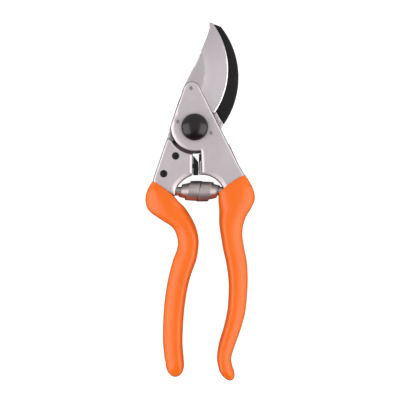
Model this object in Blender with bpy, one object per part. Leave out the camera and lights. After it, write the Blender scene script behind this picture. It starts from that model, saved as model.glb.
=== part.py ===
"""Bypass pruner lying flat: pivot axis along +Z, blade tip towards +Y, rest plane at z = 0."""

import math

import bmesh
import bpy
from mathutils import Vector

MM = 0.001

# heights of the flat layers, from the back face to the front face (mm)
BACK_Z = 2.7
BACK_PLATE_TOP = 5.3
HOOK_Z = (5.6, 9.2)
BLADE_Z = (9.5, 12.7)
FRONT_PLATE_Z = 13.0
FRONT_Z = 16.5
GRIP_MID_Z = 9.5
GRIP_HALF = 9.5
TANG_GAP = 0.55

# pivot and head (mm)
BOSS_R = 14.3
RECESS_R = 15.6
EDGE_CENTRE = (-25.8, 34.2)
EDGE_R = 45.5
HOOK_CENTRE = (-22.65, 29.65)
HOOK_OUTER_R = 48.52
HOOK_INNER_R = 44.0
TIP_CENTRE = (-1.7, 21.9)
TIP_R = 5.0
SLOT_LEFT = -1.2
SLOT_RIGHT = 3.1
LEFT_ARCH = (2.85, -43.2)
LEFT_ARCH_R = 15.5
RIGHT_ARCH = (4.3, -41.4)
RIGHT_ARCH_R = 13.6
RIVETS = ((-11.2, -16.9), (-18.2, -27.3))
PINS = ((-2.1, 22.8), (-9.9, 3.2), (9.5, -3.4))
CATCH_PIVOT = (-4.2, -21.5)
CATCH_POST = (5.8, -21.5)
SPRING_Y = -37.5
SPRING_X = (-10.4, 15.8)

# mouth of each grip: outer corner and inner corner of the metal (mm)
LEFT_MOUTH = ((-24.9, -31.7), (-10.8, -42.8))
RIGHT_MOUTH = ((30.0, -28.8), (16.2, -37.6))

# grip ribs: outer point and inner point, from the mouth to the end (mm)
LEFT_RIBS = (
    (-26.0, -32.6, -10.4, -43.9),
    (-28.3, -37.4, -6.6, -46.2),
    (-29.2, -43.2, -4.2, -49.2),
    (-26.7, -48.6, -1.7, -53.2),
    (-19.3, -54.0, 0.4, -57.5),
    (-13.2, -59.0, 1.9, -62.4),
    (-10.4, -65.4, 2.5, -67.0),
    (-10.5, -71.2, 2.2, -72.0),
    (-12.8, -77.5, 1.0, -78.4),
    (-15.4, -86.9, -2.2, -87.4),
    (-17.5, -98.6, -4.8, -98.6),
    (-18.7, -112.0, -6.4, -112.0),
    (-18.9, -126.0, -7.0, -126.0),
    (-18.2, -135.5, -6.6, -136.0),
    (-16.4, -140.6, -6.4, -141.2),
)
RIGHT_RIBS = (
    (31.6, -29.8, 14.2, -39.8),
    (34.2, -35.2, 13.8, -43.4),
    (35.6, -41.7, 14.2, -48.0),
    (33.6, -47.2, 14.2, -52.2),
    (30.3, -52.8, 14.2, -56.2),
    (28.6, -58.5, 14.7, -60.5),
    (28.3, -64.2, 15.5, -65.4),
    (29.4, -71.2, 16.6, -72.0),
    (31.0, -80.0, 18.5, -80.6),
    (31.4, -90.0, 19.7, -90.4),
    (31.0, -99.0, 19.7, -99.2),
    (29.9, -109.0, 18.9, -108.5),
    (27.2, -119.0, 16.7, -118.2),
    (24.0, -128.0, 14.0, -127.2),
    (21.7, -135.6, 12.9, -136.0),
    (22.8, -141.5, 14.3, -143.0),
)
LEFT_END = (-12.1, -146.9)
RIGHT_END = (21.2, -149.4)
WALL = 1.7
RING = 18


def clear_scene():
    for obj in list(bpy.data.objects):
        bpy.data.objects.remove(obj, do_unlink=True)


def material(name, colour, rough, metal):
    mat = bpy.data.materials.new(name)
    mat.use_nodes = True
    shader = mat.node_tree.nodes["Principled BSDF"]
    shader.inputs["Base Color"].default_value = (*colour, 1.0)
    shader.inputs["Roughness"].default_value = rough
    shader.inputs["Metallic"].default_value = metal
    return mat


def make(name, verts, faces, mat=None):
    mesh = bpy.data.meshes.new(name)
    mesh.from_pydata([Vector(v) * MM for v in verts], [], faces)
    bm = bmesh.new()
    bm.from_mesh(mesh)
    bmesh.ops.recalc_face_normals(bm, faces=bm.faces)
    bm.to_mesh(mesh)
    bm.free()
    mesh.shade_smooth()
    mesh.set_sharp_from_angle(angle=math.radians(35))
    obj = bpy.data.objects.new(name, mesh)
    bpy.context.collection.objects.link(obj)
    if mat is not None:
        mesh.materials.append(mat)
    return obj


def arc(centre, radius, start, end, steps):
    points = []
    for i in range(steps + 1):
        a = math.radians(start + (end - start) * i / steps)
        points.append((centre[0] + radius * math.cos(a), centre[1] + radius * math.sin(a)))
    return points


def polar(centre, radius, degrees):
    a = math.radians(degrees)
    return (centre[0] + radius * math.cos(a), centre[1] + radius * math.sin(a))


def angle_of(centre, point):
    return math.degrees(math.atan2(point[1] - centre[1], point[0] - centre[0]))


def prism(name, outline, low, high, mat=None):
    n = len(outline)
    verts = [(x, y, low) for x, y in outline] + [(x, y, high) for x, y in outline]
    faces = [tuple(range(n - 1, -1, -1)), tuple(range(n, 2 * n))]
    for i in range(n):
        j = (i + 1) % n
        faces.append((i, j, n + j, n + i))
    return make(name, verts, faces, mat)


def lathe(name, profile, steps, place, mat=None):
    """Closed profile of (radius, height) pairs turned about an axis; place maps (x, y, h) to the frame."""
    verts = []
    rings = []
    for radius, height in profile:
        if radius < 1e-6:
            verts.append(place(0.0, 0.0, height))
            rings.append([len(verts) - 1] * steps)
            continue
        ring = []
        for i in range(steps):
            a = 2 * math.pi * i / steps
            verts.append(place(radius * math.cos(a), radius * math.sin(a), height))
            ring.append(len(verts) - 1)
        rings.append(ring)
    faces = []
    for k in range(len(rings)):
        first = rings[k]
        second = rings[(k + 1) % len(rings)]
        if first[0] == first[1] and second[0] == second[1]:
            continue
        for i in range(steps):
            j = (i + 1) % steps
            if first[0] == first[1]:
                faces.append((first[0], second[j], second[i]))
            elif second[0] == second[1]:
                faces.append((first[i], first[j], second[0]))
            else:
                faces.append((first[i], first[j], second[j], second[i]))
    return make(name, verts, faces, mat)


def upright(x, y):
    return lambda a, b, h: (x + a, y + b, h)


def along_x(y, z):
    return lambda a, b, h: (h, y + a, z + b)


def rod(name, radius, low, high, place, mat=None, steps=24):
    verts = []
    for h in (low, high):
        for i in range(steps):
            a = 2 * math.pi * (i + 0.5) / steps
            verts.append(place(radius * math.cos(a), radius * math.sin(a), h))
    faces = [tuple(range(steps - 1, -1, -1)), tuple(range(steps, 2 * steps))]
    for i in range(steps):
        j = (i + 1) % steps
        faces.append((i, j, steps + j, steps + i))
    return make(name, verts, faces, mat)


def boolean(obj, other, operation):
    other.hide_render = True
    other.display_type = "WIRE"
    mod = obj.modifiers.new(operation.lower(), "BOOLEAN")
    mod.operation = operation
    mod.object = other
    mod.solver = "EXACT"


def chamfer(obj, width, angle=50):
    mod = obj.modifiers.new("chamfer", "BEVEL")
    mod.width = width * MM
    mod.segments = 1
    mod.limit_method = "ANGLE"
    mod.angle_limit = math.radians(angle)


def spline(points, t):
    """Catmull-Rom value at t in 0..1 through equally spaced points of any size."""
    last = len(points) - 1
    s = min(max(t, 0.0), 1.0) * last
    i = min(int(s), last - 1)
    u = s - i
    p1 = points[i]
    p2 = points[i + 1]
    p0 = points[i - 1] if i > 0 else tuple(2 * a - b for a, b in zip(p1, p2))
    p3 = points[i + 2] if i + 2 <= last else tuple(2 * b - a for a, b in zip(p1, p2))
    return tuple(
        0.5 * (2 * b + (c - a) * u + (2 * a - 5 * b + 4 * c - d) * u * u
               + (3 * b - a - 3 * c + d) * u ** 3)
        for a, b, c, d in zip(p0, p1, p2, p3)
    )


def power(value, exponent):
    return math.copysign(abs(value) ** exponent, value)


def rib_ring(rib, half_z, inset, roundness):
    """Ring of points across one rib, pulled in by inset."""
    ox, oy, ix, iy = rib
    cx, cy = (ox + ix) / 2, (oy + iy) / 2
    width = math.hypot(ox - ix, oy - iy) / 2
    ux, uy = (ox - ix) / (2 * width), (oy - iy) / (2 * width)
    a = width - inset
    b = half_z - inset
    ring = []
    for i in range(RING):
        th = 2 * math.pi * (i + 0.5) / RING
        p = a * power(math.cos(th), roundness)
        q = b * power(math.sin(th), roundness)
        ring.append((cx + ux * p, cy + uy * p, GRIP_MID_Z + q))
    return ring


def grip_rings(ribs, end, inset, count=24):
    """Rings from the mouth to the rounded end."""
    rings = []
    for k in range(count + 1):
        t = k / count
        grow = min(1.0, t / 0.075)
        half = 8.1 + (GRIP_HALF - 8.1) * math.sin(grow * math.pi / 2)
        rings.append(rib_ring(spline(ribs, t), half, inset, 0.78))
    last = ribs[-1]
    mid = ((last[0] + last[2]) / 2, (last[1] + last[3]) / 2)
    for s in (0.45, 0.78, 0.97):
        scale = math.sqrt(1 - s * s)
        shift = s * (1.0 - inset / math.dist(mid, end))
        cx = mid[0] + (end[0] - mid[0]) * shift
        cy = mid[1] + (end[1] - mid[1]) * shift
        hx = (last[0] - last[2]) / 2 * scale
        hy = (last[1] - last[3]) / 2 * scale
        rib = (cx + hx, cy + hy, cx - hx, cy - hy)
        rings.append(rib_ring(rib, GRIP_HALF * (0.45 + 0.55 * scale), inset * scale, 0.82))
    return rings


def skin(name, rings, mat=None):
    verts = [p for ring in rings for p in ring]
    n = len(rings[0])
    faces = []
    for k in range(len(rings) - 1):
        for i in range(n):
            j = (i + 1) % n
            faces.append((k * n + i, k * n + j, (k + 1) * n + j, (k + 1) * n + i))
    faces.append(tuple(range(n - 1, -1, -1)))
    top = (len(rings) - 1) * n
    faces.append(tuple(range(top, top + n)))
    return make(name, verts, faces, mat)


def sleeve(name, ribs, end, mat):
    """Closed-end sleeve: outer skin, rounded lip and inner skin."""
    outer = grip_rings(ribs, end, 0.0)
    lip = rib_ring(ribs[0], 8.1, 1.0, 0.78)
    inner = grip_rings(ribs, end, WALL)
    inner[0] = rib_ring(ribs[0], 8.1, 1.35, 0.78)
    chain = list(reversed(inner)) + [lip] + outer[0:]
    return skin(name, chain, mat)


def front_outline():
    """Outline of the blade handle's head: tip, right edge, mouth, arch, slot wall, boss."""
    points = arc(TIP_CENTRE, TIP_R, 158.5, 26.5, 10)
    points += [(26.3, -22.8), RIGHT_MOUTH[0], RIGHT_MOUTH[1]]
    points += arc(RIGHT_ARCH, RIGHT_ARCH_R, 27.0, 91.0, 8)
    points += [(SLOT_RIGHT, -26.6)]
    points += arc((0, 0), BOSS_R, -77.5, -186.0, 22)
    return points


def upper_cut_outline():
    """Ground that is taken away below the front plate: boss recess and everything above the ledge."""
    points = arc((0, 0), RECESS_R, -95.0, -38.5, 12)
    return points + [(40, -10.8), (40, 50), (-40, 50), (-40, -20), (-5, -20)]


def left_outline():
    """Hook handle's head with its back plate and shoulder, as one outline."""
    points = arc((0, 0), 15.3, 266.5, 355.0, 16)
    points += [(16.8, 2.0), (13.0, 8.55)]
    points += arc((0, 0), 13.6, 45.0, 168.0, 16)
    points += [(-15.2, -1.2), (-15.31, -3.0), LEFT_MOUTH[0], LEFT_MOUTH[1], (-10.7, -36.5)]
    points += arc(LEFT_ARCH, LEFT_ARCH_R, 149.0, 109.0, 8)
    points += [(SLOT_LEFT, -26.6), (SLOT_LEFT, -15.8)]
    return points


def recess_outline():
    """Boss recess above the hook."""
    points = arc((0, 0), RECESS_R, 190.0, 276.0, 16)
    return points + [(40, -15.4), (40, 50), (-40, 50), (-40, -2.6)]


def shoulder_outline():
    """Boss recess beside the hook, leaving the shoulder pad."""
    points = arc((0, 0), RECESS_R, 190.0, 354.0, 28)
    points += [(13.6, -1.6), (10.75, 6.85), (13.5, 8.9), (40, 20), (40, 50), (-40, 50), (-40, -2.6)]
    return points


def tangent_hull(circles, steps=10):
    """Convex outline round a set of circles."""
    cloud = []
    for x, y, r in circles:
        cloud += arc((x, y), r, 0, 360 - 360 / (4 * steps), 4 * steps - 1)
    cloud.sort()
    def half(points):
        chain = []
        for p in points:
            while len(chain) > 1:
                a, b = chain[-2], chain[-1]
                if (b[0] - a[0]) * (p[1] - a[1]) - (b[1] - a[1]) * (p[0] - a[0]) > 1e-4:
                    break
                chain.pop()
            chain.append(p)
        return chain[:-1]
    return half(cloud) + half(cloud[::-1])


def tang_outline(extra):
    (ax, ay), (bx, by) = RIVETS
    return tangent_hull([(ax * 0.62, ay * 0.62, 7.4 + extra), (ax, ay, 6.0 + extra), (bx, by, 3.6 + extra)])


def hook_outline():
    """Counter-blade without its tang: curved beak, throat, pivot disc and step at the shoulder."""
    tip_out = angle_of(HOOK_CENTRE, (15.1, 59.1))
    points = arc(HOOK_CENTRE, HOOK_OUTER_R, -35.0, tip_out, 26)
    points += [(11.8, 61.0)]
    inner_tip = angle_of(EDGE_CENTRE, (9.4, 60.7))
    points += arc(EDGE_CENTRE, HOOK_INNER_R, inner_tip, -20.0, 22)
    points += [(12.6, 15.9), (8.4, 14.2), (4.4, 13.3)]
    points += arc((0, 0), 13.4, 80.0, 353.0, 34)
    points += [(10.4, 7.1), (13.05, 8.85)]
    return points


def blade_outline():
    points = [(8.5, 57.6), (4.4, 46.8), (1.5, 39.7), (-3.8, 29.0), (-7.1, 21.6), (-13.1, 4.9)]
    points += arc((0, 0), 13.7, 161.0, 326.0, 22)
    points += [(12.3, -9.2), (18.4, -9.2), (10.4, 8.75), (12.5, 8.95)]
    points += arc(EDGE_CENTRE, EDGE_R, -33.1, 33.4, 30)
    points += [(11.2, 61.6), (8.3, 61.9)]
    return points


def hook_frame(mat):
    body = prism("hook_handle_frame", left_outline(), BACK_Z, FRONT_Z, mat)
    chamfer(body, 0.6)
    boolean(body, prism("cut_recess", recess_outline(), HOOK_Z[1], 30), "DIFFERENCE")
    boolean(body, prism("cut_shoulder", shoulder_outline(), BACK_PLATE_TOP, HOOK_Z[1] + 1), "DIFFERENCE")
    tang = grip_rings(LEFT_RIBS, LEFT_END, WALL + TANG_GAP)[1:]
    start = [rib_ring((-23.4, -27.2, -9.4, -38.4), 6.6, 1.2, 0.62), rib_ring(LEFT_RIBS[0], 8.1, 1.9, 0.78)]
    boolean(body, skin("cut_tang_left", start + tang), "UNION")
    pocket = tang_outline(0.35)
    boolean(body, prism("cut_pocket", pocket, BACK_PLATE_TOP, BLADE_Z[0]), "DIFFERENCE")
    for k, (x, y) in enumerate(RIVETS):
        boolean(body, rod(f"cut_rivet{k}", 2.5, -1, 20, upright(x, y)), "DIFFERENCE")
    boolean(body, rod("cut_bolt_back", 4.4, -1, 12, upright(0, 0)), "DIFFERENCE")
    boolean(body, rod("cut_catch_hole", 1.5, -1, 5.0, upright(*CATCH_PIVOT)), "DIFFERENCE")
    boolean(body, rod("cut_segment_hole", 1.3, -1, 4.9, upright(-8.9, 5.6)), "DIFFERENCE")
    boolean(body, rod("cut_bumper_hole", 1.6, -5.2, 3, along_x(-22.7, GRIP_MID_Z)), "DIFFERENCE")
    boolean(body, rod("cut_post_left", 2.9, -13.0, -5, along_x(SPRING_Y, GRIP_MID_Z)), "DIFFERENCE")
    return body


def blade_frame(mat):
    body = prism("blade_handle_frame", front_outline(), BACK_Z, FRONT_Z, mat)
    chamfer(body, 0.7)
    boolean(body, prism("cut_upper", upper_cut_outline(), -5, FRONT_PLATE_Z), "DIFFERENCE")
    tang = grip_rings(RIGHT_RIBS, RIGHT_END, WALL + TANG_GAP)[1:]
    start = [rib_ring((27.6, -25.2, 15.7, -33.0), 6.6, 1.2, 0.62), rib_ring(RIGHT_RIBS[0], 8.1, 1.9, 0.78)]
    boolean(body, skin("cut_tang_right", start + tang), "UNION")
    boolean(body, rod("cut_seat", 4.5, 8, 16.35, along_x(SPRING_Y, GRIP_MID_Z)), "DIFFERENCE")
    boolean(body, rod("cut_bolt_front", 4.4, 10, 20, upright(0, 0)), "DIFFERENCE")
    for k, (x, y) in enumerate(PINS):
        boolean(body, rod(f"cut_pin{k}", 1.45, 10, 20, upright(x, y), steps=16), "DIFFERENCE")
    boolean(body, rod("cut_post_hole", 1.7, -1, 5.0, upright(*CATCH_POST)), "DIFFERENCE")
    boolean(body, rod("cut_post_right", 2.9, 10, 18.9, along_x(SPRING_Y, GRIP_MID_Z)), "DIFFERENCE")
    return body


def cutting_blade(mat):
    body = prism("cutting_blade", blade_outline(), BLADE_Z[0], BLADE_Z[1], mat)
    ring = [(EDGE_R - 7.0, BLADE_Z[1] + 0.4), (EDGE_R - 4.6, BLADE_Z[1] - 0.35),
            (EDGE_R + 0.1, BLADE_Z[0] + 0.35), (EDGE_R + 4.0, BLADE_Z[0] + 0.35),
            (EDGE_R + 4.0, BLADE_Z[1] + 0.4)]
    cut = lathe("cut_edge", ring, 96, upright(*EDGE_CENTRE))
    keep = prism("cut_edge_side", [(14, 9.2), (60, 9.2), (60, 90), (-10, 90), (-10, 60.2), (4, 30)], 5, 18)
    keep.hide_render = True
    keep.display_type = "WIRE"
    boolean(cut, keep, "INTERSECT")
    boolean(body, cut, "DIFFERENCE")
    boolean(body, rod("cut_bush_blade", 5.5, 5, 20, upright(0, 0)), "DIFFERENCE")
    for k, (x, y) in enumerate(PINS):
        boolean(body, rod(f"cut_blade_pin{k}", 1.45, 5, 20, upright(x, y), steps=16), "DIFFERENCE")
    return body


def hook_blade(mat):
    body = prism("hook_blade", hook_outline(), HOOK_Z[0], HOOK_Z[1], mat)
    boolean(body, prism("cut_tang_steel", tang_outline(0.0), HOOK_Z[0], HOOK_Z[1]), "UNION")
    boolean(body, rod("cut_bush_hook", 5.5, 2, 20, upright(0, 0)), "DIFFERENCE")
    for k, (x, y) in enumerate(RIVETS):
        boolean(body, rod(f"cut_hook_rivet{k}", 2.5, -1, 20, upright(x, y)), "DIFFERENCE")
    return body


def fasteners(dark, steel):
    for name, (x, y) in zip(("hook_rivet_upper", "hook_rivet_lower"), RIVETS):
        profile = [(0, BACK_Z), (2.2, BACK_Z), (2.2, FRONT_Z), (1.5, FRONT_Z + 0.35), (0, FRONT_Z + 0.45)]
        lathe(name, profile, 24, upright(x, y), dark)
    for name, (x, y) in zip(("blade_pin_tip", "blade_pin_left", "blade_pin_right"), PINS):
        profile = [(0, 9.7), (1.15, 9.7), (1.15, FRONT_Z), (0.8, FRONT_Z + 0.15), (0, FRONT_Z + 0.15)]
        lathe(name, profile, 16, upright(x, y), steel)


def notched_ring():
    """Outline of the toothed nut: eighteen teeth."""
    points = []
    for k in range(18):
        base = 20 * k
        points += [polar((0, 0), 7.6, base - 3.2), polar((0, 0), 7.6, base + 3.2)]
        points += [polar((0, 0), 6.7, base + 6.8), polar((0, 0), 6.7, base + 13.2)]
    return points


def segment_outline():
    """Keeper plate with three teeth in the nut's notches."""
    points = []
    for base in (130, 150, 170):
        points += [polar((0, 0), 8.1, base - 4.6), polar((0, 0), 7.1, base - 1.2)]
        points += [polar((0, 0), 7.1, base + 1.2), polar((0, 0), 8.1, base + 4.6)]
    return points + arc((0, 0), 12.9, 170, 130, 8)


def pivot_stack(steel, black, bronze):
    lathe("pivot_bolt", [(0, 0), (4.0, 0), (4.0, 17.7), (6.3, 17.7), (6.3, 19.4), (0, 19.4)], 32,
          upright(0, 0), steel)
    lathe("pivot_bush", [(4.3, HOOK_Z[0]), (5.2, HOOK_Z[0]), (5.2, BLADE_Z[1]), (4.3, BLADE_Z[1])], 32,
          upright(0, 0), bronze)
    lathe("pivot_washer", [(4.3, 16.8), (6.3, 16.8), (6.3, 17.35), (4.3, 17.35)], 32, upright(0, 0), steel)
    nut = prism("pivot_nut", notched_ring(), 0.0, 2.4, steel)
    boolean(nut, rod("cut_nut", 4.3, -1, 5, upright(0, 0), steps=32), "DIFFERENCE")
    dome = [(7.35, 16.85), (7.65, 17.2), (7.65, 18.2), (7.1, 19.6), (5.6, 20.9), (3.2, 21.6), (0, 21.8)]
    lathe("pivot_cap", dome + [(0, 20.0), (6.75, 19.6), (6.75, 17.2), (7.25, 16.85)], 36,
          upright(0, 0), black)
    segment = prism("nut_lock_segment", segment_outline(), 1.0, 2.4, steel)
    boolean(segment, rod("cut_segment", 1.3, -1, 5, upright(-8.9, 5.6), steps=16), "DIFFERENCE")
    lathe("segment_screw", [(0, 0.15), (2.0, 0.15), (2.0, 0.7), (1.0, 0.7), (1.0, 4.6), (0, 4.6)], 20,
          upright(-8.9, 5.6), steel)


def spring_radius(turn):
    return 6.2 - 1.1 * max(0.0, abs(turn) - 0.5)


def spring_reach(turn):
    side = abs(turn)
    reach = 5.3 * min(side, 1.1) + 2.75 * max(0.0, side - 1.1)
    return math.copysign(reach, turn)


def volute_spring(mat):
    """Strip wound in two cones that meet in the middle."""
    half_turns = 2.82
    per_turn = 18
    steps = int(2 * half_turns * per_turn)
    mid = (SPRING_X[0] + SPRING_X[1]) / 2
    verts = []
    for i in range(steps + 1):
        turn = -half_turns + 2 * half_turns * i / steps
        a = 2 * math.pi * turn + 0.6
        taper = min(1.0, (half_turns - abs(turn)) / 0.5 + 0.25)
        x = mid + spring_reach(turn)
        low, high = x - 2.45 * taper, x + 2.45 * taper
        if turn > 0:
            high = x + 2.45
        else:
            low = x - 2.45
        r = spring_radius(turn)
        for rr, xx in ((r, low), (r, high), (r - 0.45, high), (r - 0.45, low)):
            verts.append((xx, SPRING_Y + rr * math.cos(a), GRIP_MID_Z + rr * math.sin(a)))
    faces = [(0, 1, 2, 3), (4 * steps + 3, 4 * steps + 2, 4 * steps + 1, 4 * steps)]
    for i in range(steps):
        for k in range(4):
            m = (k + 1) % 4
            faces.append((4 * i + k, 4 * i + m, 4 * i + 4 + m, 4 * i + 4 + k))
    make("volute_spring", verts, faces, mat)


def between_handles(steel, rubber):
    lathe("spring_post_left", [(0, -12.7), (2.6, -12.7), (2.6, -7.5), (1.8, -6.3), (0, -6.3)], 20,
          along_x(SPRING_Y, GRIP_MID_Z), steel)
    lathe("spring_post_right", [(0, 18.6), (2.6, 18.6), (2.6, 13.0), (1.8, 11.8), (0, 11.8)], 20,
          along_x(SPRING_Y, GRIP_MID_Z), steel)
    pad = [(-0.85, -28.0), (2.2, -27.6), (2.6, -24.0), (2.6, -20.5), (1.9, -18.0), (-0.85, -17.3)]
    block = prism("rubber_bumper", pad, 4.6, 14.6, rubber)
    boolean(block, rod("cut_pad_pin", 1.6, -3, 1.2, along_x(-22.7, GRIP_MID_Z)), "DIFFERENCE")
    rod("bumper_pin", 1.3, -4.9, 0.9, along_x(-22.7, GRIP_MID_Z), steel, 16)


def catch_outline():
    """Swinging hook at rest: arm upwards from the screw, notch open on its right side, thumb lug below."""
    cx, cy = CATCH_PIVOT
    reach = math.dist(CATCH_PIVOT, CATCH_POST)
    arm = [polar((cx, cy), 2.7, -20), (cx + 1.9, cy + 3.0)]
    arm += [polar((cx, cy), reach - 1.9, 77.0), polar((cx, cy), reach - 1.8, 96.0)]
    arm += arc(polar((cx, cy), reach, 94.0), 1.8, -86.0, -266.0, 8)[1:-1]
    arm += [polar((cx, cy), reach + 1.8, 94.0), polar((cx, cy), reach + 1.9, 77.0)]
    arm += [polar((cx, cy), reach + 3.0, 80.0), polar((cx, cy), reach + 3.1, 96.0)]
    arm += [polar((cx, cy), reach + 1.4, 110.0), polar((cx, cy), reach - 1.6, 112.0)]
    arm += [polar((cx, cy), 3.4, 125.0), polar((cx, cy), 2.9, 160.0)]
    arm += [(cx - 5.6, cy + 0.2), (cx - 7.4, cy - 0.9), (cx - 7.6, cy - 3.0), (cx - 5.8, cy - 4.4)]
    arm += [polar((cx, cy), 3.0, -120.0), polar((cx, cy), 2.8, -75.0)]
    return arm


def catch(steel, dark):
    cx, cy = CATCH_PIVOT
    hook = prism("thumb_catch", catch_outline(), 1.0, 2.4, dark)
    boolean(hook, rod("cut_catch", 1.35, -1, 5, upright(cx, cy), steps=16), "DIFFERENCE")
    lathe("catch_bolt", [(0, 0.15), (2.3, 0.15), (2.3, 0.7), (1.05, 0.7), (1.05, 4.7), (0, 4.7)], 20,
          upright(cx, cy), steel)
    rod("catch_post", 1.4, 0.9, 4.7, upright(*CATCH_POST), steel, 16)


def grips(orange):
    sleeve("left_grip", LEFT_RIBS, LEFT_END, orange)
    right = sleeve("right_grip", RIGHT_RIBS, RIGHT_END, orange)
    boolean(right, rod("cut_grip_seat", 4.6, 8, 16.6, along_x(SPRING_Y, GRIP_MID_Z)), "DIFFERENCE")


def build():
    clear_scene()
    aluminium = material("aluminium", (0.62, 0.60, 0.60), 0.45, 0.9)
    blade_steel = material("blade_steel", (0.72, 0.70, 0.70), 0.28, 1.0)
    hook_steel = material("hook_steel", (0.03, 0.03, 0.03), 0.5, 0.3)
    zinc = material("zinc_steel", (0.68, 0.67, 0.66), 0.3, 1.0)
    dark = material("dark_steel", (0.025, 0.022, 0.024), 0.45, 0.4)
    black = material("gloss_black", (0.012, 0.012, 0.014), 0.15, 0.0)
    bronze = material("bronze", (0.55, 0.38, 0.18), 0.35, 1.0)
    rubber = material("rubber", (0.02, 0.02, 0.02), 0.7, 0.0)
    orange = material("orange_vinyl", (1.0, 0.165, 0.012), 0.38, 0.0)
    hook_frame(aluminium)
    blade_frame(aluminium.copy())
    cutting_blade(blade_steel)
    hook_blade(hook_steel)
    fasteners(dark, zinc)
    pivot_stack(zinc, black, bronze)
    volute_spring(zinc)
    between_handles(zinc, rubber)
    catch(zinc, dark)
    grips(orange)


build()
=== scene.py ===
"""Bypass pruner: fine meshes, materials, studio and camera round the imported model.

Lengths of shapes are in mm. Materials, lights and the camera's place use metres, as Blender does.
"""

import math

import bmesh
import bpy
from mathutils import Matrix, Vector
from mathutils.geometry import delaunay_2d_cdt
from mathutils.kdtree import KDTree


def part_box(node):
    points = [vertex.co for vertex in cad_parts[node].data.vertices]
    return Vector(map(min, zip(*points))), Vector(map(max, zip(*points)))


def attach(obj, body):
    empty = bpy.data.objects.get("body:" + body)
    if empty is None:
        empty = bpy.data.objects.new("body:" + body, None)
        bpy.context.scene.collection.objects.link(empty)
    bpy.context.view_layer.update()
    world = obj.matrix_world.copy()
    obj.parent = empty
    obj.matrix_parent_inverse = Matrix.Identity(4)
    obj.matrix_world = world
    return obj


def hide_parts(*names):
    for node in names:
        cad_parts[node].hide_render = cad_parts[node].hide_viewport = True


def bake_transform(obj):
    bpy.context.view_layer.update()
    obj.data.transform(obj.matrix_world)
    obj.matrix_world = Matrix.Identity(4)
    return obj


MM = 0.001
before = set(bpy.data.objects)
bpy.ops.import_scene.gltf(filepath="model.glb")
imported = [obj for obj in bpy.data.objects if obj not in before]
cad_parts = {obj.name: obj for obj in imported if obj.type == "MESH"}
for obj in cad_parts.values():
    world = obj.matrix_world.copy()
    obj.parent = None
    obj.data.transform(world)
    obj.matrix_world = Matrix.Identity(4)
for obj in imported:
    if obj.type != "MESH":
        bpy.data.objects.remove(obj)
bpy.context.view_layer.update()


def span(node):
    """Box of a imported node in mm: (low corner, high corner)."""
    low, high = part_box(node)
    return low / MM, high / MM


# heights of the metal handles: their faces, underside of the front plate, top of the step beside the hook,
# top of the back plate, underside of the pad that holds the hook
BACK_Z, FRONT_Z = 2.7, 16.5
PLATE_LOW = 13.0
STEP_TOP = 12.5
BACK_PLATE_TOP = 5.3
PAD_LOW = 4.0

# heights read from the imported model
BLADE_LOW, BLADE_TOP = (p.z for p in span("cutting_blade"))
HOOK_LOW, HOOK_TOP = (p.z for p in span("hook_blade"))
GRIP_LOW, GRIP_TOP = (p.z for p in span("left_grip"))
GRIP_MID = (GRIP_LOW + GRIP_TOP) / 2
GRIP_HALF = GRIP_TOP - GRIP_MID

# metal handles in plan: boss round the pivot, rounded tip of the front plate, slot and arches below
PIVOT = (0, 0)
BOSS_R = 14.3
RECESS_R = 15.6
TIP_CENTRE = (-1.7, 21.9)
TIP_R = 5.0
SLOT_LEFT = -1.2
STRIKER_X = 2.4
LEFT_ARCH = (2.85, -43.2)
LEFT_ARCH_R = 15.5
RIGHT_ARCH = (4.3, -41.4)
RIGHT_ARCH_R = 13.6

# rims as (width, depth, share of straight bevel)
ARCH_RIM = (3.2, 1.5, 1.0)
BOSS_RIM = (2.6, 1.3, 0.8)
SLOT_RIM = (2.0, 1.2, 0.6)
CAST_RIM = (1.6, 1.7, 0.1)
STRIKER_RIM = (1.7, 6.5, 0.7)
BLOCK_RIM = (0.5, 0.5, 0)
HOOK_BACK_RIM = (1.1, 0.9, 0.3)
HOOK_RIM = (0.45, 0.45, 0)

# cutting blade: hollow ground about one centre, from GRIND_R to the edge bevel between BEVEL_R and EDGE_R
GRIND_CENTRE = (-25.8, 34.2)
GRIND_R = 31.3
BEVEL_R = 44.85
EDGE_R = 45.5
HOLLOW_STEP = 0.02
HOLLOW_DEPTH = 2.03
EDGE_BEVEL = 0.42
EDGE_CUT = 0.6
EDGE_CUT_FROM = 0.8
HEEL_Y = 8.9
BLADE_NIB = (8.3, 61.9)
SPINE = [(-9.0, 16.5), (-7.3, 21.6), (-4.0, 29.0), (-1.3, 34.2), (1.4, 39.7), (4.5, 46.8), (7.4, 54.0),
         (8.8, 58.7), BLADE_NIB, (11.2, 61.6), (12.5, 60.4)]

# counter-blade
HOOK_CENTRE = (-22.65, 29.65)
HOOK_OUTER_R = 48.52
HOOK_INNER_R = 44.0
HOOK_TIP = (15.1, 59.1)

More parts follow.
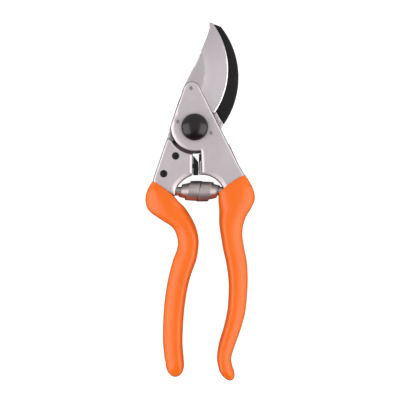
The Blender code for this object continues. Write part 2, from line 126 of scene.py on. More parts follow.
# grips: ribs across them from mouth to end, as (outer x, outer y, inner x, inner y)
LEFT_RIBS = (
    (-25.3, -31.9, -10.4, -43.4),
    (-28.3, -37.4, -6.6, -46.2),
    (-29.2, -43.2, -4.2, -49.2),
    (-27.1, -49.1, -1.7, -53.2),
    (-19.8, -54.5, 0.4, -57.5),
    (-13.2, -59.0, 1.9, -62.4),
    (-10.4, -65.4, 2.5, -67.0),
    (-10.5, -71.2, 2.2, -72.0),
    (-12.8, -77.5, 1.0, -78.4),
    (-15.4, -86.9, -2.2, -87.4),
    (-17.5, -98.6, -4.8, -98.6),
    (-18.7, -112.0, -6.4, -112.0),
    (-18.9, -126.0, -7.0, -126.0),
    (-18.1, -134.6, -6.4, -135.0),
    (-17.4, -138.4, -6.1, -138.8),
)
RIGHT_RIBS = (
    (30.2, -28.2, 14.2, -39.1),
    (34.2, -35.2, 13.8, -43.4),
    (35.6, -41.7, 14.2, -48.0),
    (33.6, -47.2, 14.2, -52.2),
    (30.3, -52.8, 14.2, -56.2),
    (28.6, -58.5, 14.7, -60.5),
    (28.3, -64.2, 15.5, -65.4),
    (29.4, -71.2, 16.6, -72.0),
    (31.0, -80.0, 18.5, -80.6),
    (31.4, -90.0, 19.7, -90.4),
    (31.0, -99.0, 19.7, -99.2),
    (29.9, -109.0, 18.9, -108.5),
    (27.2, -119.0, 16.7, -118.2),
    (24.0, -128.0, 14.0, -127.2),
    (21.7, -135.6, 12.9, -136.0),
    (22.6, -141.3, 14.1, -142.8),
)
LEFT_END = (-11.5, -146.7)
RIGHT_END = (21.3, -148.8)
# rolled lip at the mouth, as (inset, push towards the head), and how far the skin behind it still follows it
LIP = ((2.2, -1.2), (1.9, -0.3), (1.6, 0.25), (1.1, 0.6), (0.65, 0.75), (0.3, 0.7))
LIP_PUSH = 0.5
LIP_BULGE = 0.75
MOUTH_HALF = 8.2
# section of a grip: exponents of its ellipse at the mouth and along it, and how far its crests move inwards
BOXY = 0.42
ROUND = 0.78
SKEW = 0.28
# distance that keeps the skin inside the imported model
SHRINK = 0.16
RING_POINTS = 48
GRIP_RINGS = 96
END_RINGS = 11
END_BLUNT = 0.44

# spring: radius of the strip's outside and lean of its face, from the middle to the ends
SPRING_RADII = (6.0, 6.0, 5.0, 4.4, 4.0)
SPRING_CONES = (0.0, 0.0, 0.14, 0.26, 0.18)
SPRING_TURNS = 2.0
STRIP_HALF = 3.25
STRIP_THICK = 0.45

# fineness of the plates: points along an outline, rows across its rim, grid inside
OUTLINE_STEP = 0.5
CORNER_STEPS = 6
RIM_STEP = 0.12
RIM_ROWS = (0.04, 0.14, 0.28, 0.44, 0.62, 0.8, 1.0, 1.12)
GRID = 1.8

# studio: in metres, apart from the gap in mm between the object and the floor
FLOOR_GAP = 0.02
FLOOR_HALF = 6.0
VIEW_WIDTH = 0.2352
VIEW_CENTRE = (0.0031, -0.0427, 0.012)
LENS, SENSOR = 180.0, 36.0
SOFTBOX_PLACE = (0.80, -0.18, 0.56)
SOFTBOX_TARGET = (0.003, -0.04, 0.01)
SOFTBOX_SIZE = (1.0, 1.2)
SOFTBOX_POWER = 7.0


# ---------------------------------------------------------------- shapes in the plane


def polar(centre, radius, degrees):
    """Point at a distance and direction from a centre."""
    a = math.radians(degrees)
    return (centre[0] + radius * math.cos(a), centre[1] + radius * math.sin(a))


def arc(centre, radius, start, end, steps):
    """Points along an arc, with angles in degrees."""
    return [polar(centre, radius, start + (end - start) * i / steps) for i in range(steps + 1)]


def angle_of(centre, point):
    """Direction of a point from a centre, in degrees."""
    return math.degrees(math.atan2(point[1] - centre[1], point[0] - centre[0]))


def rounded(outline, radius):
    """Rounds every outer corner sharper than 20 degrees, as far as its sides allow."""
    count = len(outline)
    side = 1 if area(outline) > 0 else -1
    points = []
    for i in range(count):
        before, here, after = (Vector(outline[(i + k) % count]) for k in (-1, 0, 1))
        a, b = before - here, after - here
        turn = math.pi - a.angle(b)
        outer = side * (-a).cross(b) > 0
        if turn < math.radians(20) or not outer:
            points.append(tuple(here))
            continue
        cut = min(radius * math.tan(turn / 2), 0.45 * a.length, 0.45 * b.length)
        first, last = here + a.normalized() * cut, here + b.normalized() * cut
        for k in range(CORNER_STEPS + 1):
            t = k / CORNER_STEPS
            points.append(tuple(first * (1 - t) ** 2 + here * 2 * t * (1 - t) + last * t * t))
    return points


def resampled(outline, step):
    """Closed outline with points about one step apart."""
    count = len(outline)
    points = []
    for i in range(count):
        a, b = Vector(outline[i]), Vector(outline[(i + 1) % count])
        parts = max(1, round((b - a).length / step))
        if (b - a).length < 0.02:
            continue
        points += [tuple(a.lerp(b, k / parts)) for k in range(parts)]
    return points


def area(outline):
    """Signed area, positive for an outline that runs counterclockwise."""
    return sum(a[0] * b[1] - b[0] * a[1] for a, b in zip(outline, outline[1:] + outline[:1])) / 2


def inward(outline):
    """Offset vectors into the outline at its points: unit normals, longer at mitred corners."""
    side = 1 if area(outline) > 0 else -1
    count = len(outline)
    result = []
    for i in range(count):
        a, b, c = (Vector(outline[(i + k) % count]) for k in (-1, 0, 1))
        first, second = (b - a).normalized(), (c - b).normalized()
        d = (first + second).normalized()
        result.append(Vector((-d.y, d.x)) * side / max(0.62, d.dot(first)))
    return result


# ---------------------------------------------------------------- meshes


def make(name, verts, faces, sharp=40):
    """Object from points in mm, shaded smooth except at edges sharper than an angle."""
    mesh = bpy.data.meshes.new(name)
    mesh.from_pydata([Vector(v) * MM for v in verts], [], faces)
    bm = bmesh.new()
    bm.from_mesh(mesh)
    bmesh.ops.recalc_face_normals(bm, faces=bm.faces)
    bm.to_mesh(mesh)
    bm.free()
    mesh.shade_smooth()
    mesh.set_sharp_from_angle(angle=math.radians(sharp))
    obj = bpy.data.objects.new(name, mesh)
    bpy.context.scene.collection.objects.link(obj)
    return obj


def joined(name, pieces):
    """One object made of several meshes."""
    bm = bmesh.new()
    for piece in pieces:
        bm.from_mesh(piece.data)
    mesh = bpy.data.meshes.new(name)
    bm.to_mesh(mesh)
    bm.free()
    for piece in pieces:
        bpy.data.objects.remove(piece, do_unlink=True)
    obj = bpy.data.objects.new(name, mesh)
    bpy.context.scene.collection.objects.link(obj)
    return obj


def skin(rings):
    """Closed surface through rings of equal length: (points, faces)."""
    n = len(rings[0])
    verts = [p for ring in rings for p in ring]
    faces = []
    for k in range(len(rings) - 1):
        for i in range(n):
            j = (i + 1) % n
            faces.append((k * n + i, k * n + j, (k + 1) * n + j, (k + 1) * n + i))
    faces.append(tuple(range(n - 1, -1, -1)))
    faces.append(tuple(range(len(verts) - n, len(verts))))
    return verts, faces


class Rim:
    """Distance from an outline, and the rim's shape there: width, depth and how straight its bevel is."""

    def __init__(self, outline, shape_at):
        fine = resampled(outline, RIM_STEP)
        shapes = [Vector(shape_at(p)) for p in fine]
        count, reach, passes = len(fine), 7, 3
        for _ in range(passes):
            near = [[shapes[(i + k) % count] for k in range(-reach, reach + 1)] for i in range(count)]
            shapes = [sum(group, Vector((0, 0, 0))) / len(group) for group in near]
        self.shapes = shapes
        self.tree = KDTree(len(fine))
        for i, point in enumerate(fine):
            self.tree.insert((*point, 0), i)
        self.tree.balance()

    def at(self, point):
        """Distance from the outline and rim width at a point in the plane."""
        found = self.tree.find((point[0], point[1], 0))
        return found[2], self.shapes[found[1]][0]

    def fall(self, point):
        """How far the rim lies below the flat face at a point."""
        _, index, distance = self.tree.find((point[0], point[1], 0))
        width, depth, bevel = self.shapes[index]
        share = distance / width
        outer_round = (0.7 + 1.6 * bevel) * quarter(distance / 0.55)
        return depth * (bevel * slope(share) + (1 - bevel) * quarter(share)) + outer_round


def quarter(share):
    """Quarter round, 1 at the edge and 0 from one width inside it."""
    return 1 - math.sqrt(max(0.0, 1 - (1 - min(1.0, share)) ** 2))


def slope(share):
    """Straight bevel with a small radius at its edge and a soft start."""
    left = 1 - min(1.0, share)
    return 0.8 * left ** 1.25 + 0.2 * quarter(share * 4)


def sheet(outline, rim, rows, grid):
    """Triangles over an outline: rows of points along its rim and an even grid inside."""
    count = len(outline)
    points, used, cell = list(outline), set(), 0.16
    normals = inward(outline)
    for row in rows:
        for point, normal in zip(outline, normals):
            width = rim.at(point)[1]
            spot = Vector(point) + normal * width * row
            key = (round(spot.x / cell), round(spot.y / cell))
            crossed = rim.at(spot)[0] < 0.93 * width * row
            if key in used or crossed:
                continue
            used.add(key)
            points.append(tuple(spot))
    reach = rows[-1] + 0.15
    low, high = min(p[1] for p in outline), max(p[1] for p in outline)
    sides = list(zip(outline, outline[1:] + outline[:1]))
    for j in range(int((high - low) / grid) + 1):
        y = low + (j + 0.37) * grid
        cuts = sorted(a[0] + (b[0] - a[0]) * (y - a[1]) / (b[1] - a[1])
                      for a, b in sides if (a[1] > y) != (b[1] > y))
        for first, last in zip(cuts[::2], cuts[1::2]):
            for i in range(int((last - first) / grid) + 1):
                spot = (first + (i + 0.5 * (j % 2)) * grid, y)
                distance, width = rim.at(spot)
                if spot[0] < last and distance > width * reach:
                    points.append(spot)
    edges = [(i, (i + 1) % count) for i in range(count)]
    spots, _, faces, origins, _, _ = delaunay_2d_cdt([Vector(p) for p in points], edges, [], 1, 1e-5)
    place = {i: k for k, group in enumerate(origins) for i in group}
    return [tuple(p) for p in spots], faces, [place[i] for i in range(count)]


def plate(name, outline, low, high, edge=0.7, corner=1.2, rim_at=None, low_edge=0.5):
    """Flat plate with soft rims. rim_at(point) gives (width, depth, bevel) where the rim differs."""
    outline = resampled(rounded(outline, corner), OUTLINE_STEP)
    rim = Rim(outline, rim_at or (lambda point: (edge, edge, 0)))
    spots, faces, loop = sheet(outline, rim, RIM_ROWS, GRID)
    top = [(*p, high - rim.fall(p)) for p in spots]
    base = [(*p, low + low_edge * quarter(rim.at(p)[0] / low_edge)) for p in spots]
    n = len(spots)
    faces = [tuple(f) for f in faces]
    under = [tuple(n + i for i in reversed(f)) for f in faces]
    wall = [(a, b, n + b, n + a) for a, b in zip(loop, loop[1:] + loop[:1])]
    return make(name, top + base, faces + under + wall, 50)


def turned(name, profile, centre, steps, sharp):
    """Solid of revolution about the vertical through centre. Its profile runs from axis to axis."""
    verts, faces, rings = [], [], []
    for radius, height in profile:
        if radius < 1e-6:
            verts.append((centre[0], centre[1], height))
            rings.append([len(verts) - 1] * steps)
            continue
        start = len(verts)
        verts += [(*polar(centre, radius, 360 * i / steps), height) for i in range(steps)]
        rings.append(list(range(start, start + steps)))
    for first, second in zip(rings, rings[1:] + rings[:1]):
        for i in range(steps):
            j = (i + 1) % steps
            corners = []
            for v in (first[i], first[j], second[j], second[i]):
                if v not in corners:
                    corners.append(v)
            if len(corners) > 2:
                faces.append(tuple(corners))
    return make(name, verts, faces, sharp)


def spline(points, t):
    """Catmull-Rom value at t in 0..1 through equally spaced points."""
    last = len(points) - 1
    s = min(max(t, 0.0), 1.0) * last
    i = min(int(s), last - 1)
    u = s - i
    p1, p2 = points[i], points[i + 1]
    p0 = points[i - 1] if i > 0 else tuple(2 * a - b for a, b in zip(p1, p2))
    p3 = points[i + 2] if i + 2 <= last else tuple(2 * b - a for a, b in zip(p1, p2))
    return tuple(
        0.5 * (2 * b + (c - a) * u + (2 * a - 5 * b + 4 * c - d) * u * u
               + (3 * b - a - 3 * c + d) * u ** 3)
        for a, b, c, d in zip(p0, p1, p2, p3)
    )


def along(values, share):
    """Smooth value at a share of the way through equally spaced numbers."""
    return spline([(v,) for v in values], share)[0]


# ---------------------------------------------------------------- grips


def rib_ring(rib, half_z, inset, roundness, push=0.0, bulge=0.0, skew=0.0):
    """Ring across one rib, moved towards the head by push, and by bulge more in the middle of its faces.

    Skew moves the crests of the two faces towards the inner side of the handle.
    """
    ox, oy, ix, iy = rib
    cx, cy = (ox + ix) / 2, (oy + iy) / 2
    width = math.hypot(ox - ix, oy - iy) / 2
    ux, uy = (ox - ix) / (2 * width), (oy - iy) / (2 * width)
    fx, fy = (-uy, ux) if ux > 0 else (uy, -ux)
    a, b = width - inset, half_z - inset
    ring = []
    for i in range(RING_POINTS):
        th = 2 * math.pi * (i + 0.5) / RING_POINTS
        cos, sin = math.cos(th), math.sin(th)
        p = a * math.copysign(abs(cos) ** roundness, cos)
        q = b * math.copysign(abs(sin) ** roundness, sin)
        inside = 1 - (p / a) ** 2
        forward = push + bulge * inside
        p -= skew * a * (q / b) ** 2 * inside
        ring.append((cx + ux * p + fx * forward, cy + uy * p + fy * forward, GRIP_MID + q))
    return ring


def grip(name, ribs, end):
    """Dipped sleeve: rolled lip at the mouth, long skin and a blunt rounded end."""
    rings = []
    for inset, push in LIP:
        rings.append(rib_ring(ribs[0], MOUTH_HALF, inset + SHRINK, BOXY, push, LIP_BULGE))
    for k in range(GRIP_RINGS + 1):
        t = k / GRIP_RINGS
        # near the mouth the sleeve gains its thickness, loses its lip, gets rounder and starts to skew
        grow = math.sin(min(1.0, t / 0.075) * math.pi / 2)
        fade = max(0.0, 1 - t / 0.10) ** 2
        half = MOUTH_HALF + (GRIP_HALF - MOUTH_HALF) * grow
        roundness = BOXY + (ROUND - BOXY) * min(1.0, t / 0.13)
        skew = SKEW * min(1.0, max(0.0, t - 0.04) / 0.15)
        rib = spline(ribs, t)
        rings.append(rib_ring(rib, half, SHRINK, roundness, LIP_PUSH * fade, LIP_BULGE * fade, skew))
    last = ribs[-1]
    mid = ((last[0] + last[2]) / 2, (last[1] + last[3]) / 2)
    for k in range(1, END_RINGS + 1):
        s = math.sin(math.pi / 2 * k / (END_RINGS + 0.5))
        scale = (1 - s * s) ** END_BLUNT
        cx = mid[0] + (end[0] - mid[0]) * s
        cy = mid[1] + (end[1] - mid[1]) * s
        hx = (last[0] - last[2]) / 2 * scale
        hy = (last[1] - last[3]) / 2 * scale
        half = GRIP_HALF * (0.35 + 0.65 * scale if k < END_RINGS else 0.3)
        rib = (cx + hx, cy + hy, cx - hx, cy - hy)
        rings.append(rib_ring(rib, half, 0.1 * scale, ROUND, skew=SKEW * (1 - s)))
    return make(name, *skin(rings), sharp=60)


# ---------------------------------------------------------------- metal handles


def head_rim(point):
    """Rim of the cast heads: bevels along the arch, the boss and the slot, rounded elsewhere."""
    x, y = point
    if y < -26 and min(abs(math.dist(point, LEFT_ARCH) - LEFT_ARCH_R),
                       abs(math.dist(point, RIGHT_ARCH) - RIGHT_ARCH_R)) < 0.4:
        return ARCH_RIM
    if abs(math.hypot(x, y) - BOSS_R) < 0.3 and (x < -6 or y < -10):
        return BOSS_RIM
    if y < -13.5 and -1.4 < x < 5:
        return SLOT_RIM
    return CAST_RIM


def striker_rim(point):
    """Rim of the blade handle's block: a steep wall beside the slot above the striker pad."""
    if point[0] < 4.0 and point[1] > -20.2:
        return STRIKER_RIM
    return BLOCK_RIM


def blade_head():
    """Front plate of the blade handle, with the deep block and its striker below."""
    outline = arc(TIP_CENTRE, TIP_R, 158.5, 26.5, 16)
    outline += [(26.3, -22.8), (29.4, -28.0), (28.9, -32.0), (17.4, -39.0), (16.4, -36.2)]
    outline += arc(RIGHT_ARCH, RIGHT_ARCH_R, 25.0, 90.5, 16)
    outline += arc(PIVOT, BOSS_R, -76.0, -186.0, 40)
    top = plate("top", outline, PLATE_LOW, FRONT_Z, corner=1.0, rim_at=head_rim, low_edge=0.3)
    block = [(20.4, -9.9), (26.1, -22.6), (29.0, -27.8), (28.6, -32.0), (17.6, -38.8), (16.5, -36.2)]
    block += arc(RIGHT_ARCH, RIGHT_ARCH_R, 25.0, 95.0, 16)
    block += [(STRIKER_X, -27.6), (STRIKER_X, -21.0), (STRIKER_X + 0.1, -15.6)]
    block += arc(PIVOT, RECESS_R, -79.0, -38.5, 12)
    deep = plate("deep", block, BACK_Z, PLATE_LOW + 0.5, corner=0.6, rim_at=striker_rim, low_edge=0.8)
    return joined("blade_handle_fine", [top, deep])


def hook_head():
    """Hook handle: deep block with a lower step, back plate under the boss and pad beside the hook.

    Joined plates differ by a few hundredths in height, so that no faces coincide.
    """
    side = [(-10.9, -36.8), (-11.6, -40.9), (-23.4, -34.4), (-24.7, -31.0)]
    block = arc(PIVOT, RECESS_R, 209.0, 265.6, 24)
    block += [(SLOT_LEFT, -27.4)]
    block += arc(LEFT_ARCH, LEFT_ARCH_R, 108.0, 148.0, 14)
    block += side + [(-16.9, -8.2), (-15.6, -6.0)]
    deep = plate("deep", block, BACK_Z, FRONT_Z, corner=0.9, rim_at=head_rim, low_edge=0.8)
    step = [polar(PIVOT, RECESS_R, 191.0)] + arc(PIVOT, 14.05, 196.0, 213.0, 8) + [(-17.6, -12.0)]
    lower = plate("step", step, BACK_Z + 0.01, STEP_TOP, 0.4, 0.6)
    disc = arc(PIVOT, 16.2, 200.0, 258.0, 14)
    disc += arc(PIVOT, 15.3, 266.5, 355.0, 30)
    disc += [(16.8, 2.0), (13.0, 8.55)]
    disc += arc(PIVOT, 13.6, 45.0, 168.0, 30)
    disc += [(-15.2, -1.2)]
    back = plate("back", disc, BACK_Z + 0.02, BACK_PLATE_TOP, 0.5, 0.8)
    rise = [(13.6, -1.5), (15.35, -1.25), (16.75, 1.95), (13.1, 9.0), (12.2, 9.6), (9.8, 7.6)]
    pad = plate("pad", rise, PAD_LOW, HOOK_TOP + 0.06, 0.35, 0.6)
    return joined("hook_handle_fine", [deep, lower, back, pad])


# ---------------------------------------------------------------- blades


def crossing(centre, degrees, path, reach):
    """Distances from centre along a ray to where it crosses an open path."""
    direction = Vector((math.cos(math.radians(degrees)), math.sin(math.radians(degrees))))
    found = []
    for a, b in zip(path, path[1:]):
        pa, edge = Vector(a) - Vector(centre), Vector(b) - Vector(a)
        det = direction.x * -edge.y + direction.y * edge.x
        if abs(det) < 1e-9:
            continue
        dist = (pa.x * -edge.y + pa.y * edge.x) / det
        share = (direction.x * pa.y - direction.y * pa.x) / det
        if -1e-6 <= share <= 1 + 1e-6 and 0 < dist < reach:
            found.append(dist)
    return sorted(found)


def ground_height(radius):
    """Top face over the distance from the grinding centre: flat, hollow ground, then the fine edge."""
    if radius < GRIND_R:
        return BLADE_TOP
    if radius < BEVEL_R:
        u = (radius - GRIND_R) / (BEVEL_R - GRIND_R)
        dip = 1 - (1 - min(1.0, u / 0.3)) ** 2
        return BLADE_TOP - HOLLOW_STEP - HOLLOW_DEPTH * (0.97 * u + 0.03 * dip)
    u = (radius - BEVEL_R) / (EDGE_R - BEVEL_R)
    cut = max(0.0, u - EDGE_CUT_FROM) / (1 - EDGE_CUT_FROM)
    return BLADE_TOP - (HOLLOW_STEP + HOLLOW_DEPTH) - EDGE_BEVEL * u - EDGE_CUT * cut


def cutting_blade():
    """Exposed blade as rows of rays from the grinding centre, and the flat tang under the front plate."""
    rays = []
    low, high = -38.5, angle_of(GRIND_CENTRE, BLADE_NIB) - 0.04
    count, stations, to_spine = 150, 34, 42.0
    for k in range(count + 1):
        degrees = low + (high - low) * (1 - (1 - k / count) ** 1.5)
        hits = crossing(GRIND_CENTRE, degrees, SPINE, EDGE_R + 2)
        near = hits[0] if hits else to_spine
        far = EDGE_R
        if degrees < 0:
            far = min(far, (GRIND_CENTRE[1] - HEEL_Y) / math.sin(math.radians(-degrees)))
        if len(hits) > 1:
            far = min(far, hits[-1])
        near = min(near, far - 0.05)
        rays.append((degrees, near, far))
    # every ray gets stations at the marks, where the ground face changes its slope
    marks = (GRIND_R - 0.04, GRIND_R + 0.04, BEVEL_R, BEVEL_R + EDGE_CUT_FROM * (EDGE_R - BEVEL_R))
    rings = []
    for degrees, near, far in rays:
        radii = [near + (far - near) * (1 - (1 - i / (stations - 1)) ** 1.6) for i in range(stations)]
        for mark in marks:
            if near < mark < far:
                nearest = min(range(1, stations - 1), key=lambda i: abs(radii[i] - mark))
                radii[nearest] = mark
        ring = []
        for r in sorted(radii):
            soft = 0.22 * quarter((r - near) / 0.5)
            ring.append((*polar(GRIND_CENTRE, r, degrees), ground_height(r) - soft))
        ring += [(*polar(GRIND_CENTRE, r, degrees), BLADE_LOW) for r in (far, near)]
        rings.append(ring)
    exposed = make("exposed", *skin(rings), 14)
    tang = [(7.6, 12.6), (-8.9, 17.2), (-13.1, 4.9)]
    tang += arc(PIVOT, 13.7, 161.0, 326.0, 40)
    tang += [(12.3, -9.2), (18.4, -9.2), (10.4, 8.8)]
    flat = plate("flat", tang, BLADE_LOW + 0.02, BLADE_TOP - 0.02, 0.3, 0.8, low_edge=0.3)
    return joined("cutting_blade_fine", [exposed, flat])


def hook_rim(point):
    """Rim of the counter-blade: a fuller bevel along its outer curve."""
    if abs(math.dist(point, HOOK_CENTRE) - HOOK_OUTER_R) < 0.3:
        return HOOK_BACK_RIM
    return HOOK_RIM


def hook_blade():
    """Counter-blade with its tang round the pivot."""
    outline = arc(HOOK_CENTRE, HOOK_OUTER_R, -35.0, angle_of(HOOK_CENTRE, HOOK_TIP), 44)
    outline += [(11.8, 61.0)]
    outline += arc(GRIND_CENTRE, HOOK_INNER_R, 36.9, -20.0, 36)
    outline += [(12.6, 15.9), (8.4, 14.2), (4.4, 13.3)]
    outline += arc(PIVOT, 13.4, 80.0, 353.0, 60)
    outline += [(10.4, 7.1), (13.05, 8.85)]
    return plate("hook_blade_fine", outline, HOOK_LOW, HOOK_TOP, 0.6, 0.25, hook_rim)


# ---------------------------------------------------------------- small pieces


def pivot_cap():
    """Domed cap with a small rolled foot."""
    low, high = span("pivot_cap")
    radius = (high.x - low.x) / 2 + 0.3
    foot, steps = 0.7, 12
    profile = [(0, low.z + 0.1), (radius - 0.5, low.z + 0.1), (radius - 0.25, low.z)]
    profile.append((radius, low.z + 0.25))
    for k in range(steps + 1):
        a = math.pi / 2 * k / steps
        across = radius * math.cos(a) ** 0.92 if k < steps else 0
        profile.append((across, low.z + foot + (high.z - low.z - foot) * math.sin(a)))
    return turned("pivot_cap_fine", profile, PIVOT, 96, 50)


def shank(node, head, steps, sharp):
    """Round pin in its packed place. Head has (share of the radius, height over the front face) points."""
    low, high = span(node)
    centre = ((low.x + high.x) / 2, (low.y + high.y) / 2)
    r = (high.x - low.x) / 2
    profile = [(0, low.z), (r, low.z)] + [(r * share, FRONT_Z + rise) for share, rise in head]
    return turned(node + "_fine", profile, centre, steps, sharp)


def rivet(node):
    """Black rivet: shank ends flush at the back, shallow dome at the front."""
    return shank(node, ((1, 0.02), (0.92, 0.18), (0.7, 0.32), (0.35, 0.42), (0, 0.45)), 48, 50)


def pin(node):
    """Pin end ground flush with the plate, with a fine groove round it."""
    head = ((1, 0.01), (0.88, 0.05), (0.74, 0.01), (0.66, -0.02), (0.6, 0.05), (0, 0.07))
    return shank(node, head, 40, 35)


def spring():
    """Wide strip wound in two nested cones that meet in the middle."""
    low, high = span("volute_spring")
    mid = (low.x + high.x) / 2
    y = (low.y + high.y) / 2
    steps = 256
    rings = []
    for i in range(steps + 1):
        turn = -SPRING_TURNS + 2 * SPRING_TURNS * i / steps
        side = abs(turn)
        a = 2 * math.pi * turn + math.pi
        # the pitch is wide in the middle and closer where the cones nest
        x = mid + math.copysign(6.8 * min(side, 0.75) + 3.6 * max(0.0, side - 0.75), turn)
        radius = along(SPRING_RADII, side / SPRING_TURNS)
        cone = math.copysign(along(SPRING_CONES, side / SPRING_TURNS), turn)
        # half widths towards -X and +X: the outer one narrows over the last quarter turn
        outer = STRIP_HALF * min(1.0, (SPRING_TURNS - side) / 0.25 + 0.45)
        first, last = (STRIP_HALF, outer) if turn > 0 else (outer, STRIP_HALF)
        section = [(-first + 0.04, -0.12), (-first + 0.2, 0.0), (-first / 2, 0.03), (0, 0.04),
                   (last / 2, 0.03), (last - 0.2, 0.0), (last - 0.04, -0.12),
                   (last - 0.06, -STRIP_THICK), (-first + 0.06, -STRIP_THICK)]
        ring = []
        for across, out in section:
            r = radius + out - cone * across
            ring.append((x + across, y + r * math.sin(a), GRIP_MID + r * math.cos(a)))
        rings.append(ring)
    return make("volute_spring_fine", *skin(rings), 35)


def bumper():
    """Rubber block in the slot, slanted at its top."""
    low, high = span("rubber_bumper")
    outline = [(-0.95, -28.1), (2.1, -28.1), (2.25, -24.0), (2.1, -20.4), (-0.95, -16.2)]
    return plate("rubber_bumper_fine", outline, low.z, high.z, 0.4, 0.5, low_edge=0.4)


# ---------------------------------------------------------------- materials


def new_material(name, colour, rough, metal, **constants):
    """Principled material with plain values, which most materials then link patterns over."""
    mat = bpy.data.materials.new(name)
    mat.use_nodes = True
    nodes = mat.node_tree.nodes
    shader = nodes["Principled BSDF"]
    shader.inputs["Base Color"].default_value = (*colour, 1.0)
    shader.inputs["Roughness"].default_value = rough
    shader.inputs["Metallic"].default_value = metal
    for key, value in constants.items():
        shader.inputs[key.replace("_", " ")].default_value = value
    return mat, mat.node_tree, shader


def noise_node(tree, vector, scale, detail, roughness=0.55):
    """Noise pattern in metres: scale 1000 has features of about 1 mm."""
    node = tree.nodes.new("ShaderNodeTexNoise")
    node.inputs["Scale"].default_value = scale
    node.inputs["Detail"].default_value = detail
    node.inputs["Roughness"].default_value = roughness
    tree.links.new(vector, node.inputs["Vector"])
    return node.outputs["Fac"]


def ramp(tree, value, low, high, start=0.3, stop=0.7):
    """Maps start..stop of a value onto low..high, held at both ends."""
    node = tree.nodes.new("ShaderNodeMapRange")
    node.inputs["From Min"].default_value = start
    node.inputs["From Max"].default_value = stop
    node.inputs["To Min"].default_value = low
    node.inputs["To Max"].default_value = high
    tree.links.new(value, node.inputs["Value"])
    return node.outputs["Result"]


def maths(tree, operation, *values):
    """Math node; each value is a number or an output."""
    node = tree.nodes.new("ShaderNodeMath")
    node.operation = operation
    for socket, value in zip(node.inputs, values):
        if isinstance(value, (int, float)):
            socket.default_value = value
        else:
            tree.links.new(value, socket)
    return node.outputs["Value"]


def mix_colours(tree, value, first, second, start=0.3, stop=0.7):
    """Fades from one colour to another as a value goes from start to stop."""
    node = tree.nodes.new("ShaderNodeValToRGB")
    node.color_ramp.elements[0].position = start
    node.color_ramp.elements[1].position = stop
    node.color_ramp.elements[0].color = (*first, 1.0)
    node.color_ramp.elements[1].color = (*second, 1.0)
    tree.links.new(value, node.inputs["Fac"])
    return node.outputs["Color"]


def bump(tree, shader, height, strength, distance, below=None):
    """Bump on a shader, over another bump where one is given."""
    node = tree.nodes.new("ShaderNodeBump")
    node.inputs["Strength"].default_value = strength
    node.inputs["Distance"].default_value = distance
    tree.links.new(height, node.inputs["Height"])
    if below is not None:
        tree.links.new(below, node.inputs["Normal"])
    tree.links.new(node.outputs["Normal"], shader.inputs["Normal"])
    return node.outputs["Normal"]


def object_space(tree, stretch=(1, 1, 1)):
    """Object coordinates, scaled along each axis."""
    coord = tree.nodes.new("ShaderNodeTexCoord")
    mapping = tree.nodes.new("ShaderNodeMapping")
    mapping.inputs["Scale"].default_value = stretch
    tree.links.new(coord.outputs["Object"], mapping.inputs["Vector"])
    return mapping.outputs["Vector"]


def multiplied(tree, colour, factor):
    """Product of two colours."""
    node = tree.nodes.new("ShaderNodeMix")
    node.data_type = "RGBA"
    node.blend_type = "MULTIPLY"
    node.inputs["Factor"].default_value = 1.0
    tree.links.new(colour, node.inputs["A"])
    tree.links.new(factor, node.inputs["B"])
    return node.outputs["Result"]


def painted_crevice_shade(tree, colour, reach, dark):
    """Painted shade: darkens a colour deep in gaps and corners, where shade falls."""
    # painted shade: ambient occlusion darkens the base colour in gaps and corners
    node = tree.nodes.new("ShaderNodeAmbientOcclusion")
    node.samples = 8
    node.inputs["Distance"].default_value = reach
    return multiplied(tree, colour, mix_colours(tree, node.outputs["AO"], dark, (1, 1, 1), 0.12, 0.46))


def painted_light_by_tilt(tree, colour, stops):
    """Painted light and shade: scales a colour by the face's upward tilt. Stops are (height of the normal,
    factor).
    """
    coord = tree.nodes.new("ShaderNodeTexCoord")
    split = tree.nodes.new("ShaderNodeSeparateXYZ")
    tree.links.new(coord.outputs["Normal"], split.inputs["Vector"])
    shade = tree.nodes.new("ShaderNodeValToRGB")
    elements = shade.color_ramp.elements
    while len(elements) < len(stops):
        elements.new(0.5)
    for element, (place, value) in zip(elements, stops):
        element.position = place
        element.color = (value, value, value, 1.0)
    tree.links.new(split.outputs["Z"], shade.inputs["Fac"])
    return multiplied(tree, colour, shade.outputs["Color"])


def cast_aluminium():
    """Satin die-cast metal: soft cloudiness, fine grain and faint polish marks.

    Painted light and shade in its colour: lighter on its bevels and darker on its rounds and side walls, as
    soft light leaves it, and painted shade deep in gaps and corners.
    """
    mat, tree, shader = new_material("cast_aluminium", (0.57, 0.524, 0.542), 0.59, 1.0)
    space = object_space(tree)
    cloud = noise_node(tree, space, 90, 3)
    grain = noise_node(tree, space, 2600, 3, 0.7)
    marks = noise_node(tree, object_space(tree, (1.0, 0.12, 1.0)), 1500, 2)
    colour = mix_colours(tree, cloud, (0.560, 0.514, 0.532), (0.612, 0.564, 0.582))
    # painted light and shade by tilt: darker side walls and rounds, painted highlight on bevels
    walls, rounds = ((0.0, 0.85), (0.10, 0.75)), ((0.16, 0.35), (0.45, 0.35))
    bevels, face = ((0.66, 1.32), (0.93, 1.32)), ((0.985, 1.0),)
    colour = painted_light_by_tilt(tree, colour, walls + rounds + bevels + face)
    # painted shade in gaps and corners
    tree.links.new(painted_crevice_shade(tree, colour, 0.003, (0.012, 0.010, 0.011)), shader.inputs["Base Color"])
    tree.links.new(ramp(tree, marks, 0.55, 0.63), shader.inputs["Roughness"])
    first = bump(tree, shader, grain, 0.22, 0.00004)
    bump(tree, shader, marks, 0.12, 0.00003, first)
    return mat


